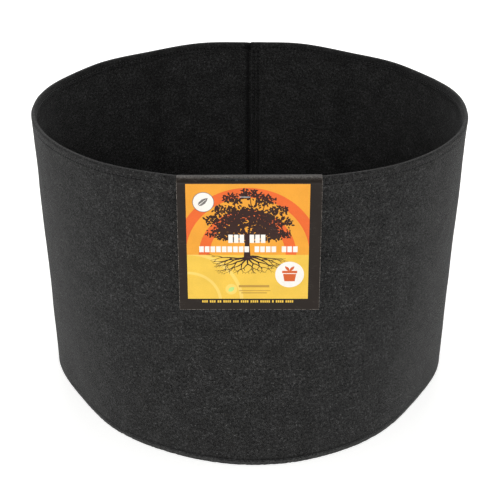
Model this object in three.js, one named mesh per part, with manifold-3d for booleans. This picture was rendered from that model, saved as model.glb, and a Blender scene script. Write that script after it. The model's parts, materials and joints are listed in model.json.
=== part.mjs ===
// A round fabric grow bag, sewn from needle-punched felt, with a folded label card on its rim.
// Millimetres, +Z up. The origin is on the floor, on the bag's axis. The label is at the front (-Y)
// and the side seam is at the back (+Y).
import * as THREE from 'three';
import { mergeVertices } from 'three/addons/utils/BufferGeometryUtils.js';
import Module from 'manifold-3d';

const wasm = await Module();
wasm.setup();

// The bag
const bagHeight = 283;
const rimRadius = 210;
const floorRadius = 201;
const feltThickness = 2.2;
const fitGap = 0.3;                     // air left between layers that touch on the real bag
const arcSteps = 64;                    // facets round the plain part of the wall

// The side seam: the panel's outer end laps over its inner end
const lapWidth = 11;
const lapRamp = 9;                      // stretch over which the outer end steps out over the inner one
const seamEdgeX = 1.7;                  // where the inner end's cut edge stands, right of the axis
const seamRows = [3, 8];                // stitch rows, measured from that cut edge
const plainPress = 0.12;                // how much the sewn lap squeezes one layer of felt
const hemPress = 0.4;                   // and how much it squeezes the turned hem

// The hem: the top edge is turned to the inside once
const hemDepth = 9;
const hemBlend = 5;                     // height below the hem over which the lap gets thicker
const hemThickness = 2 * feltThickness + fitGap;
const rimRowDrop = 6.5;                 // stitch row below the top of the rim

// The base: a disc with its edge turned down inside the wall
const baseRowHeight = 5;
const baseFoldHeight = 9;
const baseSlopeWidth = 12;
const baseClearance = 0.6;

// Sewing thread, which sinks into a groove in the felt
const threadRadius = 0.35;
const threadSeat = 0.25;                // depth of the thread's centre below the felt's face
const grooveDepth = 0.9;
const grooveMouth = 0.8;                // half the groove's width at the felt's face
const grooveFloor = 0.5;                // half its width at the bottom
const threadSides = 6;

// The label: one card folded over the rim and stapled through
const cardWidth = 120;
const cardThickness = 0.5;
const cardBottom = 166;
const cardTop = 286.8;
const cardFoldRise = 5;                 // height of the rounded fold
const cardInsideBottom = 243;
const cardGap = 0.5;
const bendHeight = 268;                 // the card flexes here, just below the staple
const bendGap = 0.45;                   // leaves the flap's edge room to turn past level

// The wire staple
const stapleX = -3.6;
const stapleHeight = 271.5;
const stapleCrown = 9;
const stapleWire = 0.28;
const stapleBend = 0.7;
const stapleTipGap = 2.2;               // between the tips of the two clinched legs
const stapleHole = 0.62;

const { lerp, clamp, smoothstep } = THREE.MathUtils;
const wrapRadius = (rimRadius + floorRadius) / 2;
const panelLength = 2 * Math.PI * wrapRadius + lapWidth;
const rimRowHeight = bagHeight - rimRowDrop;
const hemEdge = bagHeight - hemDepth;
const hemStart = hemEdge - hemBlend;

function wallRadius(z) {
  return lerp(floorRadius, rimRadius, z / bagHeight);
}

function felt(color) {
  return new THREE.MeshStandardMaterial({ color, roughness: 0.95, metalness: 0 });
}

function named(name, geometry, material) {
  const mesh = new THREE.Mesh(geometry, material);
  mesh.name = name;
  return mesh;
}

// Joins a geometry's shared vertices, so that it is one closed shell with its faces pointing out.
function closedShell(geometry) {
  geometry.deleteAttribute('normal');
  geometry.deleteAttribute('uv');
  geometry.clearGroups();
  const shell = mergeVertices(geometry, 1e-4);
  const { index, attributes: { position } } = shell;
  const corners = [new THREE.Vector3(), new THREE.Vector3(), new THREE.Vector3()];
  let volume = 0;
  for (let i = 0; i < index.count; i += 3) {
    corners.forEach((corner, k) => corner.fromBufferAttribute(position, index.getX(i + k)));
    volume += corners[0].dot(corners[1].clone().cross(corners[2]));
  }
  if (volume < 0) {
    for (let i = 0; i < index.count; i += 3) {
      const second = index.getX(i + 1);
      index.setX(i + 1, index.getX(i + 2));
      index.setX(i + 2, second);
    }
  }
  shell.computeVertexNormals();
  return shell;
}

// Extrudes a flat section through a list of stations and puts every point where place() says.
function shapedExtrusion(section, stations, place, curveSegments = 3) {
  const steps = stations.length - 1;
  const geometry = new THREE.ExtrudeGeometry(section, {
    steps, depth: steps, bevelEnabled: false, curveSegments,
  });
  const { position } = geometry.attributes;
  for (let i = 0; i < position.count; i += 1) {
    const station = stations[Math.round(position.getZ(i))];
    const point = place(position.getX(i), position.getY(i), station);
    position.setXYZ(i, point.x, point.y, point.z);
  }
  return closedShell(geometry);
}

function toManifold(geometry) {
  return new wasm.Manifold(new wasm.Mesh({
    numProp: 3,
    vertProperties: new Float32Array(geometry.attributes.position.array),
    triVerts: new Uint32Array(geometry.index.array),
  }));
}

function fromManifold(solid) {
  const { vertProperties, triVerts } = solid.getMesh();
  const geometry = new THREE.BufferGeometry();
  geometry.setAttribute('position', new THREE.BufferAttribute(vertProperties, 3));
  geometry.setIndex(new THREE.BufferAttribute(triVerts, 1));
  geometry.computeVertexNormals();
  return geometry;
}

// The two holes that the staple's legs pierce.
function pierced(geometry) {
  let solid = toManifold(geometry);
  for (const side of [-1, 1]) {
    const hole = new THREE.CylinderGeometry(stapleHole, stapleHole, 16, 8);
    hole.translate(stapleX + side * stapleCrown / 2, -rimRadius, 0);
    hole.translate(0, 0, stapleHeight);
    solid = solid.subtract(toManifold(closedShell(hole)));
  }
  return fromManifold(solid);
}

// 1 inside a stitch row's groove, 0 outside it, with sloping sides.
function grooveAt(along, row) {
  return clamp((grooveMouth - Math.abs(along - row)) / (grooveMouth - grooveFloor), 0, 1);
}

// Rolls the hemmed panel up. depth is measured in from its outer face, z is the height, and along
// is the distance from the panel's inner end.
function rolled(depth, z, along) {
  const hemmed = clamp((z - hemStart) / hemBlend, 0, 1);
  const innerEnd = 1 - smoothstep(along, lapWidth, lapWidth + lapRamp);
  const lapStart = panelLength - lapWidth;
  const outerEnd = smoothstep(along, lapStart - lapRamp, lapStart);
  const pressed = 1 - Math.max(innerEnd, outerEnd) * lerp(plainPress, hemPress, hemmed);
  const layer = lerp(feltThickness, hemThickness, hemmed) * pressed;
  const radius = wallRadius(z) - depth * pressed + outerEnd * (layer + fitGap);
  const angle = (seamEdgeX + along) / wrapRadius;
  return new THREE.Vector3(radius * Math.sin(angle), radius * Math.cos(angle), z);
}

// Distances along the panel where its section is placed: close together at the lap's stitch rows
// and ramp, and even round the rest.
function panelStations() {
  const lapStart = panelLength - lapWidth;
  const stitched = seamRows.flatMap((row) => [
    row - grooveMouth, row - grooveFloor, row + grooveFloor, row + grooveMouth,
  ]);
  const ramp = [1, 2, 3].map((third) => lapRamp * third / 3);
  const plainStart = lapWidth + lapRamp;
  const plainLength = lapStart - lapRamp - plainStart;
  const plain = Array.from({ length: arcSteps }, (_, i) => plainStart + plainLength * (i + 1) / arcSteps);
  return [
    0,
    ...stitched,
    lapWidth,
    ...ramp.map((step) => lapWidth + step),
    ...plain,
    ...ramp.map((step) => lapStart - lapRamp + step),
    ...stitched.map((row) => lapStart + row),
    panelLength,
  ];
}

// A groove's four corners on a face, from low to high. inwards is +1 where depth grows into the felt.
function grooveCorners(face, row, inwards) {
  const floor = face + inwards * grooveDepth;
  return [
    new THREE.Vector2(face, row - grooveMouth),
    new THREE.Vector2(floor, row - grooveFloor),
    new THREE.Vector2(floor, row + grooveFloor),
    new THREE.Vector2(face, row + grooveMouth),
  ];
}

// The panel's section: up the outer face, over the turned top and down to the hem's cut edge, then
// up into the fold and down the inner face. Distances are (depth, height).
function panelSection() {
  const foldLevel = bagHeight - hemThickness / 2;
  const section = new THREE.Shape();
  section.moveTo(0, 0);
  grooveCorners(0, baseRowHeight, 1).forEach(({ x, y }) => section.lineTo(x, y));
  section.lineTo(0, hemStart);
  section.lineTo(0, hemEdge);
  grooveCorners(0, rimRowHeight, 1).forEach(({ x, y }) => section.lineTo(x, y));
  section.lineTo(0, foldLevel);
  section.absarc(hemThickness / 2, foldLevel, hemThickness / 2, Math.PI, 0, true);
  grooveCorners(hemThickness, rimRowHeight, -1).reverse().forEach(({ x, y }) => section.lineTo(x, y));
  section.lineTo(hemThickness, hemEdge);
  section.lineTo(feltThickness + fitGap, hemEdge);
  section.lineTo(feltThickness + fitGap, foldLevel);
  section.lineTo(feltThickness, foldLevel);
  section.lineTo(feltThickness, hemEdge);
  section.lineTo(feltThickness, hemStart);
  section.lineTo(feltThickness, 0);
  section.closePath();
  return section;
}

function sideWall() {
  const lapStart = panelLength - lapWidth;
  const place = (depth, z, along) => {
    let sunk = depth;
    if (z <= hemEdge) {
      for (const row of seamRows) {
        if (Math.abs(depth) < 1e-6) sunk += grooveDepth * grooveAt(along, lapStart + row);
        if (Math.abs(depth - feltThickness) < 1e-6) sunk -= grooveDepth * grooveAt(along, row);
      }
    }
    return rolled(sunk, z, along);
  };
  return pierced(shapedExtrusion(panelSection(), panelStations(), place));
}

// A thread that runs round the wall in a groove at one height, from one distance along the panel to
// another.
function roundThread(depth, z, from, to) {
  const section = new THREE.Shape();
  for (let i = 0; i < threadSides; i += 1) {
    const angle = 2 * Math.PI * i / threadSides;
    const corner = [depth + threadRadius * Math.cos(angle), z + threadRadius * Math.sin(angle)];
    if (i === 0) section.moveTo(...corner);
    else section.lineTo(...corner);
  }
  section.closePath();
  const stations = [from, ...panelStations().filter((along) => along > from && along < to), to];
  return shapedExtrusion(section, stations, rolled);
}

// A thread that runs up the side seam in a groove.
function seamThread(depth, along, bottom, top) {
  const section = new THREE.Shape();
  for (let i = 0; i < threadSides; i += 1) {
    const angle = 2 * Math.PI * i / threadSides;
    const corner = [depth + threadRadius * Math.cos(angle), along + threadRadius * Math.sin(angle)];
    if (i === 0) section.moveTo(...corner);
    else section.lineTo(...corner);
  }
  section.closePath();
  const heights = [bottom, hemStart, top];
  return shapedExtrusion(section, heights, (d, s, z) => rolled(d, z, s));
}

// The base's section, revolved about the axis: flat on the floor, then up a slope to the fold, and
// down the turned edge that is sewn to the wall.
function basePanel() {
  const edge = floorRadius - feltThickness - baseClearance;
  const inner = edge - feltThickness;
  const flat = inner - baseSlopeWidth;
  const foldCentre = new THREE.Vector2(inner - fitGap / 2, baseFoldHeight - feltThickness);
  const foldRadius = feltThickness + fitGap / 2;
  const grooveRow = grooveCorners(inner, baseRowHeight, 1).map(({ x, y }) => [x, y]);
  const profile = new THREE.Path();
  profile.moveTo(0, 0);
  profile.lineTo(flat, 0);
  profile.quadraticCurveTo(flat + baseSlopeWidth / 2, 0, inner - fitGap - 2, foldCentre.y - 1);
  profile.lineTo(inner - fitGap / 2, foldCentre.y);
  grooveRow.reverse().forEach((corner) => profile.lineTo(...corner));
  profile.lineTo(inner, 0);
  profile.lineTo(edge, 0);
  profile.lineTo(edge, foldCentre.y);
  profile.absarc(foldCentre.x, foldCentre.y, foldRadius, 0, Math.PI * 0.7, false);
  profile.quadraticCurveTo(flat + baseSlopeWidth / 2, feltThickness, flat - 1, feltThickness);
  profile.lineTo(0, feltThickness);
  const points = profile.getPoints(3).filter((point, i, all) => i === 0 || point.distanceTo(all[i - 1]) > 1e-3);
  const disc = new THREE.LatheGeometry(points, 72);
  disc.rotateX(Math.PI / 2);
  return closedShell(disc);
}

function baseInsideThread() {
  const seat = floorRadius - 2 * feltThickness - baseClearance + threadSeat;
  const ring = new THREE.TorusGeometry(seat, threadRadius, threadSides, 72);
  ring.translate(0, 0, baseRowHeight);
  return closedShell(ring);
}

// Middle line of the folded card in the plane across the fold, and the direction out of its face.
// The front is flat, and the inside follows the wall, so the fold is wider towards its ends.
const cardFront = -(rimRadius + cardGap + cardThickness / 2);
const foldBase = cardTop - cardThickness / 2 - cardFoldRise;
const cardInsideRadius = rimRadius - hemThickness - cardGap - cardThickness / 2;

function cardPoint(x, path, offset) {
  const width = -Math.sqrt(cardInsideRadius ** 2 - x ** 2) - cardFront;
  const { turn, y, z } = path;
  const tangent = new THREE.Vector2(width / 2 * Math.sin(turn), cardFoldRise * Math.cos(turn)).normalize();
  return new THREE.Vector3(
    x,
    cardFront + y * width - offset * tangent.y,
    z + offset * tangent.x,
  );
}

function cardPath(bottom) {
  const turns = 10;
  const arch = Array.from({ length: turns + 1 }, (_, i) => {
    const turn = Math.PI * i / turns;
    return { turn, y: (1 - Math.cos(turn)) / 2, z: foldBase + cardFoldRise * Math.sin(turn) };
  });
  return [
    { turn: 0, y: 0, z: bottom },
    ...arch,
    { turn: Math.PI, y: 1, z: cardInsideBottom },
  ];
}

function labelSaddle() {
  const section = new THREE.Shape();
  const half = cardThickness / 2;
  const across = 12;
  for (let i = 0; i <= across; i += 1) {
    const x = cardWidth * (i / across - 0.5);
    if (i === 0) section.moveTo(x, -half);
    else section.lineTo(x, -half);
  }
  for (let i = across; i >= 0; i -= 1) section.lineTo(cardWidth * (i / across - 0.5), half);
  section.closePath();
  const place = (x, offset, path) => cardPoint(x, path, offset);
  return pierced(shapedExtrusion(section, cardPath(bendHeight + bendGap), place));
}

function labelFlap() {
  const flap = new THREE.Shape();
  const corner = 0.8;
  const half = cardWidth / 2;
  const top = bendHeight - bendGap;
  flap.moveTo(-half, top);
  flap.lineTo(-half, cardBottom + corner);
  flap.absarc(-half + corner, cardBottom + corner, corner, Math.PI, 1.5 * Math.PI, false);
  flap.absarc(half - corner, cardBottom + corner, corner, 1.5 * Math.PI, 2 * Math.PI, false);
  flap.lineTo(half, top);
  flap.closePath();
  const faces = [-cardThickness / 2, cardThickness / 2];
  return shapedExtrusion(flap, faces, (x, z, y) => new THREE.Vector3(x, cardFront + y, z));
}

// The staple's wire: clinched leg, through the layers, across the crown, and back to the other leg.
function stapleWirePath() {
  const crownY = cardFront - cardThickness / 2 - fitGap - stapleWire;
  const clinchY = -cardInsideRadius + cardThickness / 2 + fitGap + stapleWire + 0.1;
  const half = stapleCrown / 2;
  const corners = [
    [-stapleTipGap / 2, clinchY],
    [-half, clinchY],
    [-half, crownY],
    [half, crownY],
    [half, clinchY],
    [stapleTipGap / 2, clinchY],
  ].map(([x, y]) => new THREE.Vector3(stapleX + x, y, stapleHeight));
  const path = new THREE.CurvePath();
  let from = corners[0];
  for (let i = 1; i < corners.length - 1; i += 1) {
    const corner = corners[i];
    const before = corner.clone().add(from.clone().sub(corner).setLength(stapleBend));
    const after = corner.clone().add(corners[i + 1].clone().sub(corner).setLength(stapleBend));
    path.add(new THREE.LineCurve3(from, before));
    path.add(new THREE.QuadraticBezierCurve3(before, corner, after));
    from = after;
  }
  path.add(new THREE.LineCurve3(from, corners[corners.length - 1]));
  return path;
}

function staple() {
  const wire = new THREE.Shape();
  wire.absarc(0, 0, stapleWire, 0, 2 * Math.PI, false);
  const geometry = new THREE.ExtrudeGeometry(wire, {
    steps: 72, curveSegments: 3, bevelEnabled: false, extrudePath: stapleWirePath(),
  });
  return closedShell(geometry);
}

const charcoal = '#2f2f30';
const thread = new THREE.MeshStandardMaterial({ color: '#1c1c1e', roughness: 0.6, metalness: 0 });
const card = new THREE.MeshStandardMaterial({ color: '#3d3230', roughness: 0.45, metalness: 0 });
const steel = new THREE.MeshStandardMaterial({ color: '#b9bcbc', roughness: 0.3, metalness: 1 });

const lapStart = panelLength - lapWidth;
const threadEnd = 1.5;                  // bare felt past each thread's end
const outsideFrom = lapWidth + threadEnd;
const outsideTo = panelLength - threadEnd;
const insideTo = lapStart - lapRamp;
const hemInside = hemThickness - threadSeat;
const seamBottom = baseFoldHeight + threadEnd;
const seamTop = hemEdge - threadEnd;

const group = new THREE.Group();
group.add(
  named('side_wall', sideWall(), felt(charcoal)),
  named('base_panel', basePanel(), felt('#2b2b2c')),
  named('rim_stitch_outside', roundThread(threadSeat, rimRowHeight, outsideFrom, outsideTo), thread.clone()),
  named('rim_stitch_inside', roundThread(hemInside, rimRowHeight, threadEnd, insideTo), thread.clone()),
  named('base_stitch_outside', roundThread(threadSeat, baseRowHeight, outsideFrom, outsideTo), thread.clone()),
  named('base_stitch_inside', baseInsideThread(), thread.clone()),
);
seamRows.forEach((row, i) => {
  const outside = seamThread(threadSeat, lapStart + row, seamBottom, seamTop);
  const inside = seamThread(feltThickness - threadSeat, row, seamBottom, seamTop);
  group.add(
    named(`seam_stitch_outside_${i + 1}`, outside, thread.clone()),
    named(`seam_stitch_inside_${i + 1}`, inside, thread.clone()),
  );
});
group.add(
  named('label_saddle', labelSaddle(), card),
  named('label_flap', labelFlap(), card.clone()),
  named('staple', staple(), steel),
);

export default group;
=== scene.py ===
import json
import math

import bmesh
import bpy
import numpy as np
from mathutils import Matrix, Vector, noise
from mathutils.geometry import delaunay_2d_cdt


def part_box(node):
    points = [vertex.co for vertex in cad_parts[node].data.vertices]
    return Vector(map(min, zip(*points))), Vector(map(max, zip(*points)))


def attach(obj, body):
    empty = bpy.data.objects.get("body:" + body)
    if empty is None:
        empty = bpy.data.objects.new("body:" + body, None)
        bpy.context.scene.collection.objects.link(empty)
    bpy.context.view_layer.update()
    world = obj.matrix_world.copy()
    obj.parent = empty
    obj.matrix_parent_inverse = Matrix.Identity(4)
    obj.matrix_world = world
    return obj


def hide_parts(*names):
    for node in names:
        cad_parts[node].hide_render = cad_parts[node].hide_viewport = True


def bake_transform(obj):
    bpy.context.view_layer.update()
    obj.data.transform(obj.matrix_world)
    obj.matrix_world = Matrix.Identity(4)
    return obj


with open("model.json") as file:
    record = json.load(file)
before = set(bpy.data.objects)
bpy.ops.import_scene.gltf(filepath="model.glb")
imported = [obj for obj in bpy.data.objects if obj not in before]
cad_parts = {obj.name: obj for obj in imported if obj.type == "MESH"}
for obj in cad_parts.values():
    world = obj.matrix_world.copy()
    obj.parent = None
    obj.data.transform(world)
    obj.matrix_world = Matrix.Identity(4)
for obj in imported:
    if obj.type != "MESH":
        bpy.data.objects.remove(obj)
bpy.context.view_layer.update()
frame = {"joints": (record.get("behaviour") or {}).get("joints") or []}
scene = bpy.context.scene
mm = 0.001
rng = np.random.default_rng(7)


def linear(hexText):
    # "#RRGGBB" as the linear colour that the shaders want
    parts = [int(hexText[i:i + 2], 16) / 255 for i in (1, 3, 5)]
    return tuple(p / 12.92 if p <= 0.04045 else ((p + 0.055) / 1.055) ** 2.4 for p in parts) + (1.0,)


def add(tree, kind, ins=None, **settings):
    # one shader node, with its settings and what goes into its sockets
    made = tree.nodes.new("ShaderNode" + kind)
    for key, value in settings.items():
        setattr(made, key, value)
    for key, value in (ins or {}).items():
        if isinstance(value, bpy.types.NodeSocket):
            tree.links.new(value, made.inputs[key])
        else:
            made.inputs[key].default_value = value
    return made


def calc(tree, operation, a, b=0.0, c=0.0, clamp=False):
    return add(tree, "Math", {0: a, 1: b, 2: c}, operation=operation, use_clamp=clamp).outputs[0]


def ranged(tree, value, low, high, toLow=0.0, toHigh=1.0):
    ins = {"Value": value, "From Min": low, "From Max": high, "To Min": toLow, "To Max": toHigh}
    return add(tree, "MapRange", ins).outputs["Result"]


studio = {
    "eye": (0.0005, -1.10, 0.650),
    "tilt": 64.34,                  # degrees from straight down
    "lens": 84.52,
    "floor": "#F6F6F4",
    "floorGlow": 0.52,
    "horizon": 0.80,                # brightness of the room at eye level
    "zenith": 0.40,                 # and overhead
    "floorHalf": 6,
    "floorDrop": 0.0004,            # keeps it just clear of the felt
    # name: place, what it looks at, width, height, watts
    "lamps": {
        "left": ((-1.7, -0.15, 0.3), (0, 0, 0.12), 1.1, 0.5, 2.4),
        "right": ((1.7, -0.15, 0.3), (0, 0, 0.12), 1.1, 0.5, 2.4),
        "front": ((0.0, -2.3, 1.2), (0, 0, 0.15), 1.4, 0.7, 24),
        "back": ((0.0, 1.6, 1.6), (0, 0, 0.2), 1.6, 0.8, 14),
    },
}


def aim(thing, target):
    direction = np.array(target) - np.array(thing.location)
    flat = math.hypot(direction[0], direction[1])
    thing.rotation_euler = (math.atan2(flat, -direction[2]), 0, math.atan2(-direction[0], direction[1]))


def buildStudio():
    lensData = bpy.data.cameras.new("camera")
    lensData.lens = studio["lens"]
    lensData.sensor_width = 36
    lensData.clip_start = 0.05
    camera = bpy.data.objects.new("camera", lensData)
    camera.location = studio["eye"]
    camera.rotation_euler = (math.radians(studio["tilt"]), 0, 0)
    scene.collection.objects.link(camera)
    scene.camera = camera

    world = bpy.data.worlds.new("studio")
    world.use_nodes = True
    tree = world.node_tree
    upwards = add(tree, "SeparateXYZ", {0: add(tree, "TexCoord").outputs["Generated"]}).outputs[2]
    glow = ranged(tree, calc(tree, "ABSOLUTE", upwards), 0.0, 0.9, studio["horizon"], studio["zenith"])
    tree.nodes["Background"].inputs["Color"].default_value = (1, 1, 1, 1)
    tree.links.new(glow, tree.nodes["Background"].inputs["Strength"])
    scene.world = world
    scene.view_settings.view_transform = "Standard"

    for name, (place, target, width, height, watts) in studio["lamps"].items():
        data = bpy.data.lights.new(name, "AREA")
        data.shape = "RECTANGLE"
        data.size = width
        data.size_y = height
        data.energy = watts
        lamp = bpy.data.objects.new("lamp_" + name, data)
        lamp.location = place
        scene.collection.objects.link(lamp)
        aim(lamp, target)

    mesh = bpy.data.meshes.new("floor")
    half = studio["floorHalf"]
    corners = [(-half, -half, 0), (half, -half, 0), (half, half, 0), (-half, half, 0)]
    mesh.from_pydata(corners, [], [(0, 1, 2, 3)])
    floor = bpy.data.objects.new("floor", mesh)
    floor.location.z = -studio["floorDrop"]
    scene.collection.objects.link(floor)
    paint = bpy.data.materials.new("floorPaint")
    paint.use_nodes = True
    shader = paint.node_tree.nodes["Principled BSDF"]
    shader.inputs["Base Color"].default_value = linear(studio["floor"])
    shader.inputs["Roughness"].default_value = 0.8
    shader.inputs["Emission Color"].default_value = (1, 1, 1, 1)
    shader.inputs["Emission Strength"].default_value = studio["floorGlow"]
    mesh.materials.append(paint)


buildStudio()
print("studio ready")


def makeGroup(name, inputs, outputs):
    group = bpy.data.node_groups.new(name, "ShaderNodeTree")
    for label, kind, value in inputs:
        socket = group.interface.new_socket(label, in_out="INPUT", socket_type="NodeSocket" + kind)
        if value is not None:
            socket.default_value = value
    for label, kind in outputs:
        group.interface.new_socket(label, in_out="OUTPUT", socket_type="NodeSocket" + kind)
    return group, group.nodes.new("NodeGroupInput").outputs, group.nodes.new("NodeGroupOutput").inputs


def mixed(tree, share, a, b, blendType="MIX"):
    node = add(tree, "Mix", data_type="RGBA", blend_type=blendType)
    for socket, value in ((node.inputs[0], share), (node.inputs[6], a), (node.inputs[7], b)):
        if isinstance(value, bpy.types.NodeSocket):
            tree.links.new(value, socket)
        else:
            socket.default_value = value
    return node.outputs[2]


def noiseAt(tree, vector, scale, detail=2.0, roughness=0.5):
    ins = {"Vector": vector, "Scale": scale, "Detail": detail, "Roughness": roughness}
    return add(tree, "TexNoise", ins).outputs["Fac"]


def tinted(tree, colour, value):
    # multiplies a colour by a number
    return add(tree, "VectorMath", {0: colour, 3: value}, operation="SCALE").outputs[0]


def feltGroup():
    # fibres punched into a mat: long crossing strands, short bright flecks, clumps and wide mottling
    tree, ins, outs = makeGroup(
        "needledFelt",
        [("Cloth", "Vector", None), ("Colour", "Color", (0.03, 0.03, 0.03, 1)),
         ("Fibre Colour", "Color", (0.2, 0.2, 0.2, 1)), ("Fibres", "Float", 0.5), ("Flecks", "Float", 0.5),
         ("Mottle", "Float", 0.3), ("Wear And Painted Shading", "Float", 0.0)],
        [("Colour", "Color"), ("Roughness", "Float"), ("Height", "Float")])
    cloth = ins["Cloth"]
    wide = noiseAt(tree, cloth, 60, 2, 0.5)
    clumps = noiseAt(tree, cloth, 360, 2, 0.7)
    grain = noiseAt(tree, cloth, 1250, 1, 0.7)
    bend = add(tree, "TexNoise", {"Vector": cloth, "Scale": 90, "Detail": 1.0}).outputs["Color"]
    bent = add(tree, "VectorMath", {0: bend, 1: (0.006, 0.006, 0.0)}, operation="MULTIPLY").outputs[0]
    wandering = add(tree, "VectorMath", {0: cloth, 1: bent}, operation="ADD").outputs[0]
    strands = None
    for angle, length, width in ((18, 170, 2100), (74, 210, 2500), (128, 190, 2300), (160, 240, 2900)):
        turned = add(tree, "VectorRotate", {"Vector": wandering, "Angle": math.radians(angle)},
                     rotation_type="Z_AXIS").outputs[0]
        drawn = add(tree, "VectorMath", {0: turned, 1: (length, width, 1)}, operation="MULTIPLY").outputs[0]
        ridge = calc(tree, "ABSOLUTE", calc(tree, "SUBTRACT", noiseAt(tree, drawn, 1, 1), 0.5))
        line = ranged(tree, ridge, 0.045, 0.0)
        gate = ranged(tree, noiseAt(tree, turned, 620 + 3 * angle, 1), 0.46, 0.60)
        line = calc(tree, "MULTIPLY", line, gate)
        strands = line if strands is None else calc(tree, "MAXIMUM", strands, line)
    cells = add(tree, "TexVoronoi", {"Vector": wandering, "Scale": 620, "Randomness": 1.0})
    chance = add(tree, "SeparateColor", {0: cells.outputs["Color"]}).outputs[0]
    fleck = calc(tree, "MULTIPLY", ranged(tree, cells.outputs["Distance"], 0.36, 0.12),
                 ranged(tree, chance, 0.82, 0.98))
    shade = ranged(tree, wide, 0.3, 0.7, 1, -1)
    shade = calc(tree, "MULTIPLY", shade, ins["Mottle"])
    fine = calc(tree, "ADD", ranged(tree, clumps, 0.25, 0.75, -0.95, 0.95),
                ranged(tree, grain, 0.25, 0.75, -1.0, 1.0))
    level = calc(tree, "POWER", 6.0, calc(tree, "ADD", shade, fine))
    base = tinted(tree, ins["Colour"], level)
    lint = calc(tree, "MAXIMUM", calc(tree, "MULTIPLY", strands, ins["Fibres"]),
                calc(tree, "MULTIPLY", fleck, ins["Flecks"]))
    # above zero is raised fuzz at cut edges plus painted light on the rim fold's top and the strip at the
    # floor; below zero is painted shade in grooves, creases and the valley by the lap
    wearAndPaintedShading = calc(tree, "MAXIMUM", ins["Wear And Painted Shading"], 0.0)
    wearAndPaintedShading = calc(tree, "MULTIPLY", wearAndPaintedShading, ranged(tree, clumps, 0.3, 0.7, 0.35, 1.0))
    # the part below zero is painted shade, darkening both colour and fibres
    pressed = calc(tree, "ADD", 1.0, calc(tree, "MINIMUM", ins["Wear And Painted Shading"], 0.0), clamp=True)
    base = tinted(tree, base, pressed)
    lint = calc(tree, "ADD", lint, calc(tree, "MULTIPLY", wearAndPaintedShading, 0.7))
    lint = calc(tree, "MULTIPLY", lint, pressed, clamp=True)
    tree.links.new(mixed(tree, lint, base, ins["Fibre Colour"]), outs["Colour"])
    tree.links.new(ranged(tree, grain, 0.2, 0.8, 0.84, 1.0), outs["Roughness"])
    height = calc(tree, "ADD", calc(tree, "MULTIPLY", clumps, 0.8), calc(tree, "MULTIPLY", grain, 0.45))
    height = calc(tree, "ADD", height, calc(tree, "MULTIPLY", strands, 0.35))
    tree.links.new(height, outs["Height"])
    return tree


def printGroup():
    # ink on coated card: faint paper grain, uneven ink, handling scuffs, light rubbed edges, and a painted
    # highlight where the mask asks for one
    tree, ins, outs = makeGroup(
        "printedCard",
        [("Place", "Vector", None), ("Ink", "Color", (0.5, 0.5, 0.5, 1)), ("Rubbed And Painted Highlight", "Float", 0.0),
         ("Scuffs", "Float", 0.3)],
        [("Colour", "Color"), ("Roughness", "Float"), ("Height", "Float")])
    place = ins["Place"]
    cloudy = ranged(tree, noiseAt(tree, place, 60, 3), 0.3, 0.7, 0.95, 1.04)
    pulp = noiseAt(tree, place, 1500, 2)
    paper = calc(tree, "MULTIPLY", cloudy, ranged(tree, pulp, 0.3, 0.7, 0.97, 1.03))
    colour = tinted(tree, ins["Ink"], paper)
    drawn = add(tree, "VectorMath", {0: place, 1: (60, 60, 900)}, operation="MULTIPLY").outputs[0]
    scratch = calc(tree, "ABSOLUTE", calc(tree, "SUBTRACT", noiseAt(tree, drawn, 1, 2), 0.5))
    scratch = ranged(tree, scratch, 0.012, 0.0)
    scratch = calc(tree, "MULTIPLY", scratch, ranged(tree, noiseAt(tree, place, 90, 2), 0.5, 0.7))
    scratch = calc(tree, "MULTIPLY", scratch, ins["Scuffs"])
    rub = calc(tree, "MULTIPLY", ins["Rubbed And Painted Highlight"], ranged(tree, noiseAt(tree, place, 700, 3, 0.7), 0.42, 0.6))
    # lighter where scuffed or rubbed, and where the mask paints the fold's highlight
    light = calc(tree, "MAXIMUM", calc(tree, "MULTIPLY", scratch, 0.35),
                 calc(tree, "MULTIPLY", rub, 0.8), clamp=True)
    tree.links.new(mixed(tree, light, colour, linear("#C9C2B8")), outs["Colour"])
    rough = calc(tree, "ADD", ranged(tree, noiseAt(tree, place, 35, 3), 0.3, 0.7, 0.42, 0.54),
                 calc(tree, "MULTIPLY", light, 0.3))
    tree.links.new(rough, outs["Roughness"])
    height = calc(tree, "ADD", calc(tree, "MULTIPLY", pulp, 0.3), calc(tree, "MULTIPLY", light, -0.5))
    tree.links.new(height, outs["Height"])
    return tree


def twistGroup():
    # plies of a twisted thread or the drawing lines of a wire, along a piece's own length
    tree, ins, outs = makeGroup(
        "twistedStrand",
        [("Strand", "Vector", None), ("Colour", "Color", (0.02, 0.02, 0.02, 1)), ("Turns", "Float", 900.0),
         ("Plies", "Float", 3.0), ("Depth", "Float", 0.5)],
        [("Colour", "Color"), ("Roughness", "Float"), ("Height", "Float")])
    parts = add(tree, "SeparateXYZ", {0: ins["Strand"]}).outputs
    phase = calc(tree, "ADD", calc(tree, "MULTIPLY", parts[0], ins["Turns"]),
                 calc(tree, "MULTIPLY", parts[1], ins["Plies"]))
    ply = calc(tree, "ABSOLUTE", calc(tree, "SINE", calc(tree, "MULTIPLY", phase, math.pi)))
    grain = noiseAt(tree, ins["Strand"], 800, 2)
    # painted shade: darker in the grooves between plies, and along the wire's drawing lines
    shade = calc(tree, "MULTIPLY", ranged(tree, ply, 0, 1, 0.55, 1.15),
                 ranged(tree, grain, 0.3, 0.7, 0.8, 1.2))
    shade = calc(tree, "ADD", calc(tree, "MULTIPLY", calc(tree, "SUBTRACT", shade, 1.0), ins["Depth"]), 1.0)
    tree.links.new(tinted(tree, ins["Colour"], shade), outs["Colour"])
    tree.links.new(ranged(tree, grain, 0.3, 0.7, 0.35, 0.55), outs["Roughness"])
    tree.links.new(calc(tree, "MULTIPLY", ply, ins["Depth"]), outs["Height"])
    return tree


groups = {"felt": feltGroup(), "print": printGroup(), "twist": twistGroup()}


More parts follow.
